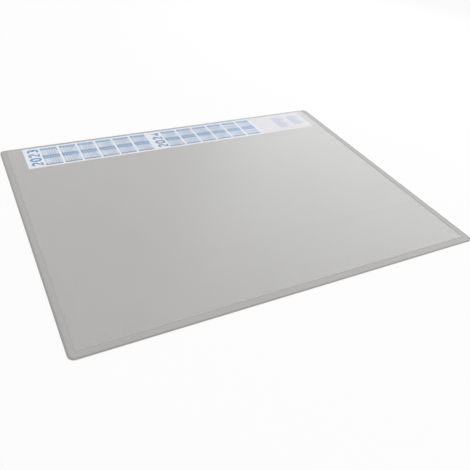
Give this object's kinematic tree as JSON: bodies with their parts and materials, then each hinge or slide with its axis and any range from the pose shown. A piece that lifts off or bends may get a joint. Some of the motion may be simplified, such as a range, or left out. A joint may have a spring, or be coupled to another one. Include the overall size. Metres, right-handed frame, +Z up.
{
  "type": "desk pad calendar",
  "caption": "Flat plastic desk mat with a raised rim, a clear cover film and a printed calendar card held under the film along its back edge.",
  "frame": {"origin": "middle of the flat underside, on the desk", "axes": "+X along the long side, to the right of the person who writes on it; +Y across the depth, towards the edge with the calendar; +Z up"},
  "size_m": [0.65, 0.5, 0.0023],
  "materials": {
    "mat_plastic": "grey plastic with a fine matt grain",
    "clear_film": "clear, colourless film with a satin gloss",
    "printed_card": "smooth white card with blue print"
  },
  "bodies": {
    "root": {"base_mat": "mat_plastic", "cover_film": "clear_film", "calendar_card": "printed_card"}
  },
  "joints": []
}
